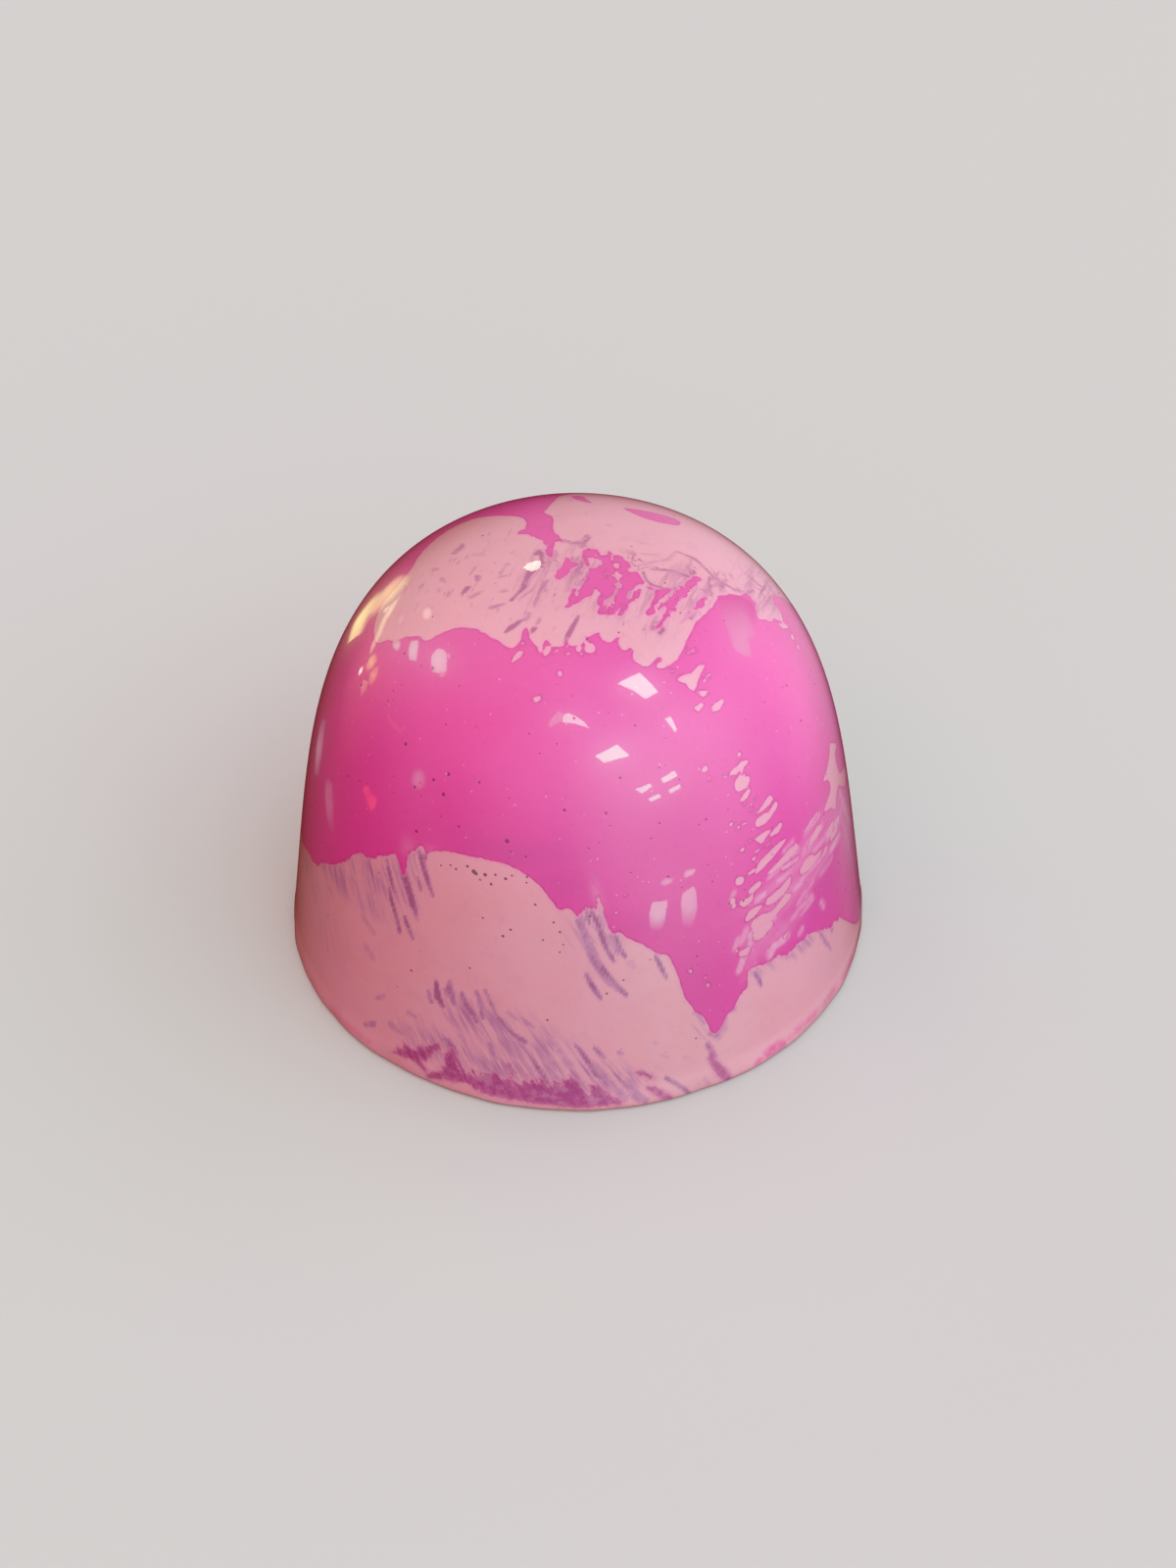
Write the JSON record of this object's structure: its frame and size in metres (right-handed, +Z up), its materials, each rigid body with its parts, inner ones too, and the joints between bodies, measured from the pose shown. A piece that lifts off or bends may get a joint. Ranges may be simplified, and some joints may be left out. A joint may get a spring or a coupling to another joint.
{
  "type": "chocolate praline",
  "caption": "Moulded chocolate praline: a tall rounded dome on a flat scraped back, its shell painted in two glossy pinks.",
  "frame": {"origin": "centre of the flat back, which the praline rests on", "axes": "+Z up along the axis the dome is turned about; -Y is the side that the picture shows"},
  "size_m": [0.029, 0.029, 0.0213],
  "materials": {
    "painted_chocolate": "glossy"
  },
  "bodies": {
    "root": {"praline": "painted_chocolate"}
  },
  "joints": []
}
